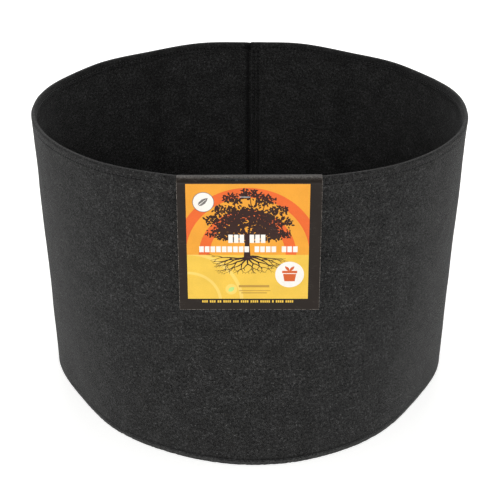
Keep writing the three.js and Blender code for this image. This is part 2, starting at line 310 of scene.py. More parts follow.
def newMaterial(name, group, values, sockets, bumpDepth, bumpStrength, coordinates=None, attribute=None):
    # a material built round one of the groups; sockets are constants on the shader itself
    material = bpy.data.materials.new(name)
    material.use_nodes = True
    tree = material.node_tree
    shader = tree.nodes["Principled BSDF"]
    for key, value in sockets.items():
        shader.inputs[key].default_value = value
    effect = add(tree, "Group", node_tree=groups[group])
    for key, value in values.items():
        effect.inputs[key].default_value = value
    if coordinates:
        where = add(tree, "UVMap", uv_map=coordinates).outputs[0]
    else:
        where = add(tree, "TexCoord").outputs["Object"]
    tree.links.new(where, effect.inputs[0])
    if attribute:
        mask = add(tree, "Attribute", attribute_name=attribute[0]).outputs["Fac"]
        tree.links.new(mask, effect.inputs[attribute[1]])
    tree.links.new(effect.outputs["Colour"], shader.inputs["Base Color"])
    tree.links.new(effect.outputs["Roughness"], shader.inputs["Roughness"])
    bump = {"Strength": bumpStrength, "Distance": bumpDepth, "Height": effect.outputs["Height"]}
    tree.links.new(add(tree, "Bump", bump).outputs[0], shader.inputs["Normal"])
    return material


feltLook = {
    "wall": "#151515",
    "base": "#141414",
    "fibre": "#5B5B5A",
    "fibres": 0.38,
    "flecks": 1.0,
    "mottle": 0.26,
    "sheen": 0.10,
    "sheenRoughness": 0.34,
}


def feltMaterial(name, colour):
    values = {"Colour": linear(colour), "Fibre Colour": linear(feltLook["fibre"]),
              "Fibres": feltLook["fibres"], "Flecks": feltLook["flecks"], "Mottle": feltLook["mottle"]}
    sockets = {"Sheen Weight": feltLook["sheen"], "Sheen Roughness": feltLook["sheenRoughness"],
               "Specular IOR Level": 0.08}
    return newMaterial(name, "felt", values, sockets, 0.4 * mm, 0.6, "cloth", ("wearAndPaintedShading", "Wear And Painted Shading"))


wallFelt = feltMaterial("wallFelt", feltLook["wall"])
baseFelt = feltMaterial("baseFelt", feltLook["base"])
sewingThread = newMaterial("sewingThread", "twist",
                           {"Colour": linear("#161617"), "Turns": 900.0, "Plies": 3.0, "Depth": 0.8},
                           {"Sheen Weight": 0.1, "Specular IOR Level": 0.3}, 0.1 * mm, 0.8, "strand")
stapleSteel = newMaterial("stapleSteel", "twist",
                          {"Colour": linear("#C9CCCD"), "Turns": 0.0, "Plies": 14.0, "Depth": 0.15},
                          {"Metallic": 1.0}, 0.02 * mm, 0.4, "strand")
print("materials ready")


def gridFaces(rows, columns, wrapColumns):
    last = columns if wrapColumns else columns - 1
    i, j = np.meshgrid(np.arange(rows - 1), np.arange(last), indexing="ij")
    k = (j + 1) % columns
    corners = [i * columns + j, (i + 1) * columns + j, (i + 1) * columns + k, i * columns + k]
    return np.stack(corners, -1).reshape(-1, 4)


def meshPiece(name, points, faces, materials, sharpAngle, uvName=None, uvs=None, mask=None, slots=None):
    # one closed mesh; uvs are given per face corner in the faces' own order
    mesh = bpy.data.meshes.new(name)
    mesh.from_pydata(points.reshape(-1, 3).tolist(), [], faces)
    if uvs is not None:
        layer = mesh.uv_layers.new(name=uvName)
        layer.data.foreach_set("uv", np.asarray(uvs, np.float32).ravel())
    if mask is not None:
        attribute = mesh.attributes.new("wearAndPaintedShading", "FLOAT", "POINT")
        attribute.data.foreach_set("value", np.asarray(mask, np.float32).ravel())
    if slots is not None:
        mesh.polygons.foreach_set("material_index", np.asarray(slots, np.int32))
    shell = bmesh.new()
    shell.from_mesh(mesh)
    bmesh.ops.remove_doubles(shell, verts=shell.verts, dist=1e-7)
    bmesh.ops.recalc_face_normals(shell, faces=shell.faces)
    shell.to_mesh(mesh)
    shell.free()
    for material in materials:
        mesh.materials.append(material)
    mesh.shade_smooth()
    mesh.set_sharp_from_angle(angle=math.radians(sharpAngle))
    piece = bpy.data.objects.new(name, mesh)
    scene.collection.objects.link(piece)
    return piece


def tubes(name, lines, radius, sides, endTaper, material):
    # many short round strands in one mesh: lines is (strands, rings, 3)
    strands, rings = lines.shape[:2]
    tangent = np.gradient(lines, axis=1)
    tangent /= np.linalg.norm(tangent, axis=-1, keepdims=True)
    outward = lines * (1, 1, 0)
    outward = outward / np.linalg.norm(outward, axis=-1, keepdims=True)
    sideways = np.cross(tangent, outward)
    flat = np.linalg.norm(sideways, axis=-1, keepdims=True)
    sideways = np.where(flat > 0.05, sideways / np.maximum(flat, 1e-9), np.cross(tangent, (0, 0, 1.0)))
    sideways /= np.linalg.norm(sideways, axis=-1, keepdims=True)
    up = np.cross(sideways, tangent)
    around = 2 * math.pi * np.arange(sides) / sides
    taper = np.ones(rings)
    taper[0] = taper[-1] = endTaper
    ring = up[:, :, None] * np.cos(around)[:, None] + sideways[:, :, None] * np.sin(around)[:, None]
    points = lines[:, :, None] + ring * (radius * taper)[None, :, None, None]
    one = gridFaces(rings, sides, True)
    step = np.linalg.norm(np.diff(lines, axis=1), axis=-1)
    reach = np.concatenate([np.zeros((strands, 1)), np.cumsum(step, axis=1)], axis=1)
    ringOf, sideOf = one // sides, one % sides
    turn = np.where((sideOf == 0) & (np.array([0, 0, 1, 1]) == 1), 1.0, sideOf / sides)
    faces = []
    uvs = []
    for k in range(strands):
        base = k * rings * sides
        faces.extend((one + base).tolist())
        faces.append([base + s for s in range(sides)])
        faces.append([base + (rings - 1) * sides + s for s in range(sides)])
        uvs.append(np.stack([reach[k][ringOf], turn], -1).reshape(-1, 2))
        uvs.append(np.zeros((2 * sides, 2)))
    return meshPiece(name, points, faces, [material], 70, "strand", np.concatenate(uvs))


hinge = frame["joints"][0]["pos_m"]          # where the card bends
bag = {
    "height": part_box("side_wall")[1].z,
    "rimRadius": -hinge[1] - 0.75 * mm,      # the card's middle stands this far off the rim
    "taper": 9 * mm,
    "felt": 2.2 * mm,
    "gap": 0.3 * mm,
    "lap": 11 * mm,
    "lapRamp": 9 * mm,
    "lapDrop": 1.6 * mm,         # the lapped end is sewn this much lower at the rim
    "seamEdge": 1.7 * mm,
    "seamRows": (3 * mm, 8 * mm),
    "plainPress": 0.12,
    "hemPress": 0.40,
    "hemDepth": 9 * mm,
    "hemBlend": 5 * mm,
    "rimRowDrop": 6.5 * mm,
    "baseRow": 5 * mm,
    "stitch": 4 * mm,
    "groove": 0.75 * mm,
    "grooveWidth": 0.65 * mm,
    "creaseWidth": 0.9 * mm,     # width of the painted shade beside a row of stitches
    "creaseShade": 0.7,
    "darkest": 0.75,
    # how far it stands out of round: (lobes, metres, degrees)
    "rimWave": ((2, 0.9 * mm, -50), (3, 0.8 * mm, -85), (4, 1.6 * mm, -40), (5, 0.7 * mm, 135)),
    "floorWave": ((2, 1.2 * mm, 190), (3, 2.8 * mm, 105), (4, 2.8 * mm, 5), (6, 1.8 * mm, -15),
                  (8, 1.0 * mm, 0)),
    "rimRise": ((2, 1.8 * mm, 180), (3, 0.9 * mm, 40), (4, 0.6 * mm, -30)),
    "backRise": ((11, 0.9 * mm, 90),),
    # upright creases from when it was folded flat: (degrees from the back, metres, softness)
    "creases": ((31, 1.6 * mm, 0.10), (-31, 1.6 * mm, 0.10)),
    # painted shade inside along them and in the valley beside the lap: strength, place before the lap's
    # edge, width
    "foldLineShade": (0.2, 11 * mm),
    "valleyShade": (0.72, 3.6 * mm, 2.6 * mm),
}
bag["floorRadius"] = bag["rimRadius"] - bag["taper"]
wrapRadius = bag["rimRadius"] - bag["taper"] / 2
panelLength = 2 * math.pi * wrapRadius + bag["lap"]
lapStart = panelLength - bag["lap"]
hemThickness = 2 * bag["felt"] + bag["gap"]
hemEdge = bag["height"] - bag["hemDepth"]
hemStart = hemEdge - bag["hemBlend"]
rimRow = bag["height"] - bag["rimRowDrop"]
foldLevel = bag["height"] - hemThickness / 2


def smooth(value, low, high):
    t = np.clip((value - low) / (high - low), 0, 1)
    return t * t * (3 - 2 * t)


def wave(angle, terms):
    return sum(size * np.cos(lobes * angle - math.radians(phase)) for lobes, size, phase in terms)


def lumps(angle, z, scale, height):
    # soft unevenness of the felt, the same on both of its faces
    angle, z = np.broadcast_arrays(angle, z)
    spots = np.stack([np.cos(angle) * 0.2 * scale, np.sin(angle) * 0.2 * scale, z * scale], -1)
    flat = spots.reshape(-1, 3)
    values = np.fromiter((noise.noise(p) for p in flat.tolist()), float, len(flat))
    return values.reshape(angle.shape) * height


def outOfRound(angle, z):
    share = np.clip(z / bag["height"], 0, 1)
    out = wave(angle, bag["floorWave"]) * (1 - share) + wave(angle, bag["rimWave"]) * share
    for degrees, size, softness in bag["creases"]:
        away = angle - math.radians(90 - degrees)
        away = (away + math.pi) % (2 * math.pi) - math.pi
        out = out + size * (1.3 - 0.9 * share) * np.exp(-np.sqrt(away ** 2 + 0.03 ** 2) / softness)
    return out


def wallPoint(depth, z, along):
    # depth in from the outer face, height, and distance from the panel's inner end
    depth, z, along = np.broadcast_arrays(*(np.asarray(value, float) for value in (depth, z, along)))
    hemmed = np.clip((z - hemStart) / bag["hemBlend"], 0, 1)
    innerEnd = 1 - smooth(along, bag["lap"], bag["lap"] + bag["lapRamp"])
    outerEnd = smooth(along, lapStart - bag["lapRamp"], lapStart)
    squeeze = bag["plainPress"] + (bag["hemPress"] - bag["plainPress"]) * hemmed
    pressed = 1 - np.maximum(innerEnd, outerEnd) * squeeze
    layer = (bag["felt"] + (hemThickness - bag["felt"]) * hemmed) * pressed
    angle = math.pi / 2 - (bag["seamEdge"] + along) / wrapRadius
    share = z / bag["height"]
    out = outOfRound(angle, z) + lumps(angle, z, 14, 0.9 * mm) + lumps(angle, z, 48, 0.28 * mm)
    radius = (bag["floorRadius"] + bag["taper"] * share - depth * pressed
              + outerEnd * (layer + bag["gap"]) + out)
    rise = wave(angle, bag["rimRise"]) + wave(angle, bag["backRise"]) * (0.5 + 0.5 * np.sin(angle)) ** 2
    rise = (rise - outerEnd * bag["lapDrop"]) * share ** 2
    return np.stack([radius * np.cos(angle), radius * np.sin(angle), z + rise], -1)


def dip(value, row, depth=None):
    return (depth or bag["groove"]) * np.exp(-((value - row) / bag["grooveWidth"]) ** 2)


def paintedGrooveShade(value, row):
    # painted shade in the groove that a row of stitches makes in the felt
    return bag["creaseShade"] * np.exp(-((value - row) / bag["creaseWidth"]) ** 2)


def wallSection():
    # (depth, height, wearAndPaintedShading) up the outer face, over the fold to the hem's edge, and down the
    # inner face
    atRow = np.array([-3.2, -1.9, -1.2, -0.75, -0.4, 0, 0.4, 0.75, 1.2, 2.1]) * mm
    low = np.concatenate([[0.0, 0.4 * mm], bag["baseRow"] + atRow])
    middle = np.linspace(11 * mm, hemStart, 34)
    high = np.concatenate([[hemStart + 2 * mm, hemStart + 3.6 * mm, hemEdge], rimRow + atRow[2:]])
    up = np.concatenate([low, [8.6 * mm], middle, high, [foldLevel - 0.7 * mm]])
    # the strip below the base row is lighter: its fuzz, and painted light against the floor's shade on it
    section = [(0.25 * mm if z == 0 else 0.0, z, 0.4 if z < bag["baseRow"] - mm else 0.0) for z in up]
    half = hemThickness / 2
    # round the fold; the last value paints a highlight along its top
    for t in np.linspace(0, math.pi, 11):
        section.append((half - half * math.cos(t), foldLevel + half * math.sin(t), 0.6 * math.sin(t) ** 6))
    inner = (rimRow + atRow[1:-1])[::-1]
    section += [(hemThickness, z, 0.0) for z in inner if z < foldLevel]
    turned = bag["felt"] + bag["gap"]
    section += [(hemThickness, hemEdge + 0.4 * mm, 0.2), (hemThickness - 0.3 * mm, hemEdge, 0.4),
                (turned + 0.2 * mm, hemEdge, 0.2), (turned, hemEdge + 0.5 * mm, 0)]
    section += [(turned, foldLevel, 0.0), (bag["felt"], foldLevel, 0.0)]
    down = np.concatenate([[hemEdge + 2 * mm, hemEdge, hemStart + 2 * mm], middle[::-1],
                           [8 * mm, 5 * mm, 2 * mm, 0.4 * mm]])
    section += [(bag["felt"], z, 0.0) for z in down]
    section += [(bag["felt"] - 0.25 * mm, 0.0, 0.3)]
    return np.array(section)


def wallStations():
    even = np.arange(0, panelLength, bag["stitch"] / 2)
    near = np.array([-0.9, -0.5, 0, 0.5, 0.9]) * mm
    rows = np.concatenate([end + row + near for end in (0, lapStart) for row in bag["seamRows"]])
    ends = np.array([0.3 * mm, panelLength - 0.3 * mm, panelLength])
    every = np.sort(np.concatenate([even, rows, ends]))
    keep = np.concatenate([[True], np.diff(every) > 0.22 * mm])
    keep[-1] = True
    return every[keep]


def buildWall():
    section, stations = wallSection(), wallStations()
    depth, z, wearAndPaintedShading = section.T
    isOuter = np.arange(len(z)) < np.argmax(z)
    s = stations[:, None]
    beat = 0.78 + 0.22 * np.cos(2 * math.pi * s / bag["stitch"])
    outward = dip(z, bag["baseRow"]) + dip(z, rimRow)
    onOuter = isOuter & (depth < 0.1 * mm)
    onInner = ~isOuter & (depth > hemThickness - 0.1 * mm)
    grooves = np.where(onOuter, outward * beat, 0) - np.where(onInner, dip(z, rimRow) * beat, 0)
    plain = (z <= hemEdge) & (z > 10 * mm)
    onFace = ~isOuter & (np.abs(depth - bag["felt"]) < 0.05 * mm)
    pucker = 0.7 + 0.3 * np.cos(2 * math.pi * z / bag["stitch"])
    # painted shade along the grooves of the base row and the rim row
    pressed = np.where(onOuter, paintedGrooveShade(z, bag["baseRow"] + 1.2 * mm) * 1.1, 0)
    pressed = pressed + np.where(onOuter | onInner, paintedGrooveShade(z, rimRow), 0) + 0 * s
    # painted shade in the valley beside the lap's edge and along the old fold lines inside
    strength, before, width = bag["valleyShade"]
    valleyShade = strength * np.exp(-((s - lapStart + before) / width) ** 2)
    strength, width = bag["foldLineShade"]
    for degrees, _, _ in bag["creases"]:
        foldAt = math.radians(degrees) % (2 * math.pi) * wrapRadius - bag["seamEdge"]
        valleyShade = valleyShade + strength * np.exp(-((s - foldAt) / width) ** 2)
    pressed = pressed + np.where(onFace | onInner, valleyShade, 0)
    for row in bag["seamRows"]:
        grooves = grooves + np.where(plain & onOuter, dip(s, lapStart + row) * pucker, 0)
        grooves = grooves - np.where(plain & onFace, dip(s, row) * pucker, 0)
        # painted shade along the grooves of the seam's rows
        pressed = pressed + np.where(plain & onOuter, paintedGrooveShade(s, lapStart + row), 0)
        pressed = pressed + np.where(plain & onFace, 1.3 * paintedGrooveShade(s, row), 0)
    points = wallPoint(depth + grooves, np.broadcast_to(z, (len(s), len(z))), s)
    # the cut edge at the floor is a little ragged
    ragged = lumps(math.pi / 2 - s / wrapRadius + 0 * z, 0 * s + depth * 3, 260, 0.5 * mm)
    points[..., 2] += np.where(z < 0.5 * mm, 1.8 * np.abs(ragged), 0)
    columns, rows = len(z), len(stations)
    faces = gridFaces(rows, columns, True)
    reach = np.concatenate([[0], np.cumsum(np.hypot(np.diff(depth), np.diff(z)))])
    total = reach[-1] + 3 * mm
    row, column = faces // columns, faces % columns
    v = reach[column]
    v = np.where((column == 0) & (np.array([0, 0, 1, 1]) == 1), total, v)
    uvs = np.stack([stations[row], v], -1).reshape(-1, 2)
    endCap = np.stack([depth, z], -1)
    uvs = np.concatenate([uvs, endCap, endCap + 0.5])
    allFaces = faces.tolist() + [list(range(columns)), [(rows - 1) * columns + j for j in range(columns)]]
    # wear and painted light, less the painted shade
    mask = wearAndPaintedShading - np.minimum(pressed, bag["darkest"])
    mask[0] = mask[-1] = 0.3
    piece = meshPiece("felt_wall", points, allFaces, [wallFelt], 60, "cloth", uvs, mask)
    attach(piece, "bag")
    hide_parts("side_wall")


floorPanel = {
    "clearance": 0.2 * mm,
    "foldHeight": 9 * mm,
    "slope": 12 * mm,
    "sag": 0.7 * mm,           # height of the soft unevenness of the laid disc
    "turns": 320,
}


def wallInside(angle, z):
    # how far the wall's inner face stands out of a plain cylinder, at its tightest near that angle
    along = (math.pi / 2 - angle) * wrapRadius - bag["seamEdge"]
    radii = [np.linalg.norm(wallPoint(bag["felt"], z, (along + near) % lapStart)[..., :2], axis=-1)
             for near in (-2 * mm, 0, 2 * mm)]
    return np.minimum.reduce(radii) - bag["floorRadius"] + bag["felt"]


def buildBase():
    edge = bag["floorRadius"] - bag["felt"] - floorPanel["clearance"]
    inner = edge - bag["felt"]
    flat = inner - floorPanel["slope"]
    felt, top = bag["felt"], floorPanel["foldHeight"]
    foldRadius = felt + bag["gap"] / 2
    foldCentre = (inner - bag["gap"] / 2, top - foldRadius)
    under = [(r, 0.0, 0) for r in np.linspace(0, flat, 14)]
    for t in np.linspace(0.15, 1, 6):
        r = flat + (foldCentre[0] - flat) * t
        under.append((r, (foldCentre[1] + 0.1 * mm) * t ** 1.8, 0))
    for z in bag["baseRow"] + np.array([1.1, 0.6, 0.0, -0.6, -1.2]) * mm:
        under.append((inner + dip(z, bag["baseRow"], 0.6 * mm), z, 0))
    under += [(inner, 0.5 * mm, 0.3), (inner + 0.3 * mm, 0.05 * mm, 0.4), (edge - 0.3 * mm, 0.05 * mm, 0.4),
              (edge, 0.5 * mm, 0.2), (edge, 3 * mm, 0), (edge, foldCentre[1], 0)]
    for t in np.linspace(0, math.pi * 0.62, 9)[1:]:
        r, z = foldCentre[0] + foldRadius * math.cos(t), foldCentre[1] + foldRadius * math.sin(t)
        under.append((r, z, 0.25))
    startR, startZ = under[-1][0], under[-1][1]
    for t in np.linspace(0, 1, 8)[1:]:
        under.append((startR + (flat - startR) * t, felt + (startZ - felt) * (1 - t) ** 1.7, 0))
    under += [(r, felt, 0) for r in np.linspace(flat, 0, 14)[1:]]
    r, z, wearAndPaintedShading = np.array(under).T
    angle = (2 * math.pi * np.arange(floorPanel["turns"]) / floorPanel["turns"])[:, None]
    radius = r + wallInside(angle, z) * (r / edge) ** 3
    x, y = radius * np.cos(angle), radius * np.sin(angle)
    spots = np.stack([x * 16, y * 16, x * 0 + 4.2], -1).reshape(-1, 3)
    soft = np.fromiter((noise.noise(p) for p in spots.tolist()), float, len(spots)).reshape(x.shape)
    lift = floorPanel["sag"] * (0.5 + soft).clip(0, 1.4) * np.clip((flat - r) / (20 * mm), 0, 1)
    points = np.stack([x, y, z + lift], -1)
    faces = gridFaces(len(angle), len(r), False)
    last = (len(angle) - 1) * len(r)
    closing = [[last + j, j, j + 1, last + j + 1] for j in range(len(r) - 1)]
    allFaces = np.concatenate([faces, np.array(closing)])
    where = np.stack([x, y + z[None] * 2], -1).reshape(-1, 2)
    uvs = where[allFaces].reshape(-1, 2)
    mask = np.broadcast_to(wearAndPaintedShading, x.shape)
    piece = meshPiece("felt_base", points, allFaces.tolist(), [baseFelt], 60, "cloth", uvs, mask)
    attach(piece, "bag")
    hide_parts("base_panel")


thread = {
    "radius": 0.36 * mm,
    "seat": 0.30 * mm,           # how deep its middle lies in the felt
    "dive": 0.8 * mm,            # and how much deeper at a needle hole
    "visible": 0.86,             # share of a stitch's length between its holes
    "endTaper": 0.75,
    "rings": 7,
    "sides": 6,
}


def stitchDepth():
    # from a needle hole, up over the felt and down into the next one
    t = np.linspace(0, 1, thread["rings"])
    return t, thread["seat"] + thread["dive"] * np.abs(2 * t - 1) ** 4


def stitchRow(name, point, start, end):
    # point(along, sink) gives a place on the row; one short strand for each stitch
    count = int((end - start) / bag["stitch"])
    t, sink = stitchDepth()
    first = start + bag["stitch"] * (np.arange(count)[:, None] + (1 - thread["visible"]) / 2)
    lines = point(first + bag["stitch"] * thread["visible"] * t[None], sink[None] + 0 * first)
    piece = tubes(name + "_stitches", lines, thread["radius"], thread["sides"], thread["endTaper"],
                  sewingThread)
    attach(piece, "bag")
    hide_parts(name)


def buildStitches():
    threadEnd = 1.5 * mm
    outsideFrom, outsideTo = bag["lap"] + threadEnd, panelLength - threadEnd
    insideTo = lapStart - bag["lapRamp"]
    stitchRow("rim_stitch_outside", lambda s, d: wallPoint(d, rimRow, s), outsideFrom, outsideTo)
    stitchRow("rim_stitch_inside", lambda s, d: wallPoint(hemThickness - d, rimRow, s), threadEnd, insideTo)
    stitchRow("base_stitch_outside", lambda s, d: wallPoint(d, bag["baseRow"], s), outsideFrom, outsideTo)
    baseInner = 2 * bag["felt"] + floorPanel["clearance"]
    stitchRow("base_stitch_inside", lambda s, d: wallPoint(baseInner - d, bag["baseRow"], s), outsideFrom,
              lapStart - bag["lapRamp"])
    bottom, top = floorPanel["foldHeight"] + threadEnd, hemEdge - threadEnd
    for i, row in enumerate(bag["seamRows"], 1):
        stitchRow(f"seam_stitch_outside_{i}", lambda z, d: wallPoint(d, z, lapStart + row), bottom, top)
        stitchRow(f"seam_stitch_inside_{i}", lambda z, d: wallPoint(bag["felt"] - d, z, row), bottom, top)


buildWall()
print("wall ready")
buildBase()
buildStitches()
print("base and stitches ready")


card = {
    "width": 120 * mm,
    "thick": 0.5 * mm,
    "bottom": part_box("label_flap")[0].z,
    "top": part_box("label_saddle")[1].z,
    "foldRise": 5 * mm,
    "foldHalf": 3.1 * mm,        # half the fold's depth, front to back
    "insideBottom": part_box("label_saddle")[0].z,
    "gap": 0.5 * mm,
    "corner": 0.8 * mm,
    "rub": 0.35 * mm,            # width of the rubbed ink along its cut edges
    "bendReach": 2.8 * mm,       # the card curls over this much on each side of the bend
}
cardFront = hinge[1]
foldBase = card["top"] - card["thick"] / 2 - card["foldRise"]
flatLength = foldBase - card["bottom"]
archLength = math.pi * math.sqrt((card["foldRise"] ** 2 + card["foldHalf"] ** 2) / 2)


def insideY(x):
    # the card's middle on the inside, which follows the hem
    radius = bag["rimRadius"] - hemThickness - card["gap"] - card["thick"] / 2
    angle = np.arctan2(-radius, x)
    radius = radius + np.minimum(outOfRound(angle, bag["height"] + 0 * x), 0)
    return -np.sqrt(radius ** 2 - x ** 2)


def cardPoint(x, v, offset):
    # x across, v up the front from the bottom edge, over the fold and down the inside
    x, v = np.broadcast_arrays(np.asarray(x, float), np.asarray(v, float))
    turn = np.clip((v - flatLength) / archLength, 0, 1) * math.pi
    below = np.maximum(v - flatLength - archLength, 0)
    width = insideY(x) - cardFront
    ty, tz = width / 2 * np.sin(turn), card["foldRise"] * np.cos(turn)
    size = np.hypot(ty, tz)
    y = cardFront + (1 - np.cos(turn)) / 2 * width - offset * tz / size
    z = np.where(v < flatLength, card["bottom"] + v, foldBase + card["foldRise"] * np.sin(turn) - below)
    return np.stack([x, y, z + offset * ty / size], -1)


inks = {
    "border": "#1F1813", "amber": "#DC9631", "orange": "#D8612A", "gold": "#DCB446", "paleGold": "#E4C263",
    "white": "#E3DED6", "brown": "#301A15", "rust": "#C45A2A", "green": "#A9CF7A", "tan": "#B08A3C",
    "grey": "#6E6A66", "board": "#B9B4AB", "cut": "#8E8880",
}
inkMaterials = {}
for ink, colour in inks.items():
    coated = ink not in ("board", "cut")
    inkMaterials[ink] = newMaterial(
        "card_" + ink, "print", {"Ink": linear(colour), "Scuffs": 0.35 if coated else 0.1},
        {"Specular IOR Level": 0.18}, 0.05 * mm, 0.35, None, ("wearAndPaintedShading", "Rubbed And Painted Highlight"))

art = {   # in metres, right of the middle and up from the card's bottom edge
    "panel": (-52.6 * mm, 10.6 * mm, 50.0 * mm, 116.5 * mm),
    "horizon": 52.4 * mm,
    "rings": ((32 * mm, 41 * mm), (52 * mm, 61 * mm)),       # round the stem's foot, above the horizon
    "furrows": ((26 * mm, 28.5 * mm), (44 * mm, 47 * mm)),
    "furrowCentre": (-52 * mm, 8 * mm),
    "stem": (-1.5 * mm, 52 * mm),
    # the shrub's branches as degrees and reach in millimetres, and its first roots
    "branches": ((158, 25), (140, 32), (121, 36), (104, 43), (88, 46), (71, 42), (52, 38), (36, 33),
                 (20, 27), (134, 20), (100, 26), (64, 25), (44, 18)),
    "roots": (-172, -155, -136, -112, -90, -68, -46, -26, -9),
    "leaves": 75,
    # plain bars in place of words: left, bottom, length, height, and how many bars stand together
    "titles": ((-17.6 * mm, 63.5 * mm, 31.9 * mm, 7.6 * mm, (3, 3)),
               (-42.1 * mm, 54.9 * mm, 83.5 * mm, 5.4 * mm, (9, 4, 3))),
    "badge": (-38.1 * mm, 100.6 * mm, 9.0 * mm),
    "disc": (34.1 * mm, 33.8 * mm, 12.2 * mm),
    "dot": (-15.4 * mm, 19.8 * mm, 5.0 * mm),
    "smallBars": ((-9 * mm, 21.6 * mm, 26 * mm, 2.2 * mm), (-9 * mm, 18.0 * mm, 27 * mm, 0.7 * mm),
                  (-7 * mm, 15.8 * mm, 22 * mm, 0.9 * mm)),
    "footer": (-40.5 * mm, 6.9 * mm, 78.5 * mm, 2.2 * mm, (3, 3, 2, 4, 3, 4, 4, 5, 1, 4, 4)),
}


def rect(x, y, width, height):
    return [(x, y), (x + width, y), (x + width, y + height), (x, y + height)]


def circle(x, y, radius, count=48, start=0.0, end=2 * math.pi):
    closed = end - start > 6.28
    angles = np.linspace(start, end, count + 1)[:count + (0 if closed else 1)]
    return [(x + radius * math.cos(a), y + radius * math.sin(a)) for a in angles]


def band(x, y, inner, outer, count, start, end):
    # a flat strip bent round a centre
    return circle(x, y, outer, count, start, end) + circle(x, y, inner, count, start, end)[::-1]


def clipped(points, low, high):
    # keeps a convex-cut polygon inside a box
    for axis, limit, sign in ((0, low[0], 1), (0, high[0], -1), (1, low[1], 1), (1, high[1], -1)):
        kept = []
        for i, here in enumerate(points):
            before = points[i - 1]
            inHere, inBefore = sign * (here[axis] - limit) >= 0, sign * (before[axis] - limit) >= 0
            if inHere != inBefore:
                t = (limit - before[axis]) / (here[axis] - before[axis])
                kept.append(tuple(before[k] + (here[k] - before[k]) * t for k in (0, 1)))
            if inHere:
                kept.append(here)
        points = kept
    return points


def turnsLeft(points):
    return sum(a[0] * b[1] - a[1] * b[0] for a, b in zip(points, points[1:] + points[:1])) > 0


def leaf(x, y, length, angle, slim=0.42):
    # a pointed leaf from its stalk end
    edge = [(0.25, 0.42), (0.55, 0.5), (0.82, 0.28)]
    shape = [(0, 0)] + edge + [(1, 0)] + [(px, -py) for px, py in edge[::-1]]
    c, s = math.cos(angle), math.sin(angle)
    scaled = [(px * length, py * slim * length) for px, py in shape]
    return [(x + px * c - py * s, y + px * s + py * c) for px, py in scaled]


def branchStrip(start, end, widthStart, widthEnd, bow=0.0):
    # a tapered strip with a slight bow
    (x0, y0), (x1, y1) = start, end
    dx, dy = x1 - x0, y1 - y0
    length = math.hypot(dx, dy)
    nx, ny = -dy / length, dx / length
    left, right = [], []
    for t in (0, 0.35, 0.7, 1):
        off = bow * length * 4 * t * (1 - t)
        half = (widthStart + (widthEnd - widthStart) * t) / 2
        cx, cy = x0 + dx * t + nx * off, y0 + dy * t + ny * off
        left.append((cx + nx * half, cy + ny * half))
        right.append((cx - nx * half, cy - ny * half))
    return left + right[::-1]


def blocks(x, y, width, height, words, share=0.80):
    # rows of plain bars that stand in for words
    letters = sum(words) + 0.8 * (len(words) - 1)
    step = width / letters
    made, at = [], x
    for count in words:
        for _ in range(count):
            made.append(rect(at, y, step * share, height))
            at += step
        at += 0.8 * step
    return made


def plantShapes():
    # a leafy shrub above the horizon and its branching roots below it
    x0, ground = art["stem"]
    foot, crown = (x0 - 0.3 * mm, ground - 3 * mm), (x0 + 0.3 * mm, ground + 20 * mm)
    shapes = [branchStrip(foot, crown, 6.0 * mm, 2.4 * mm, 0.02)]
    tufts = []
    for angle, reach in art["branches"]:
        a = math.radians(angle)
        fork = (x0, ground + 10 * mm + 6 * mm * math.sin(a))
        tip = (fork[0] + reach * 0.98 * mm * math.cos(a) * 1.12, fork[1] + reach * 0.86 * mm * math.sin(a))
        shapes.append(branchStrip(fork, tip, 1.9 * mm, 0.5 * mm, 0.06 if angle > 90 else -0.06))
        tufts += [(tip, 7.6), ((fork[0] * 0.35 + tip[0] * 0.65, fork[1] * 0.35 + tip[1] * 0.65), 7.2)]
    for (x, y), size in tufts:
        for _ in range(art["leaves"]):
            a, r = rng.uniform(0, 2 * math.pi), size * math.sqrt(rng.uniform(0, 1)) * mm
            px, py = x + 1.15 * r * math.cos(a), y + 0.55 * r * math.sin(a)
            if py > ground + 10 * mm:
                shapes.append(leaf(px, py, rng.uniform(2.0, 3.6) * mm, rng.uniform(0, 2 * math.pi), 0.5))
    roots = [((x0, ground - 1.5 * mm), angle, 11.0, 1.9) for angle in art["roots"]]
    while roots:
        start, angle, length, width = roots.pop()
        a = math.radians(angle)
        end = (start[0] + length * mm * math.cos(a) * 1.15, start[1] + length * mm * math.sin(a) * 0.62)
        shapes.append(branchStrip(start, end, width * mm, width * 0.6 * mm, rng.uniform(-0.09, 0.09)))
        if length > 4.2:
            for side in (-1, 1):
                turned = angle * 0.86 - 90 * 0.14 + side * rng.uniform(14, 34)
                roots.append((end, turned, length * rng.uniform(0.6, 0.8), width * 0.6))
    return shapes


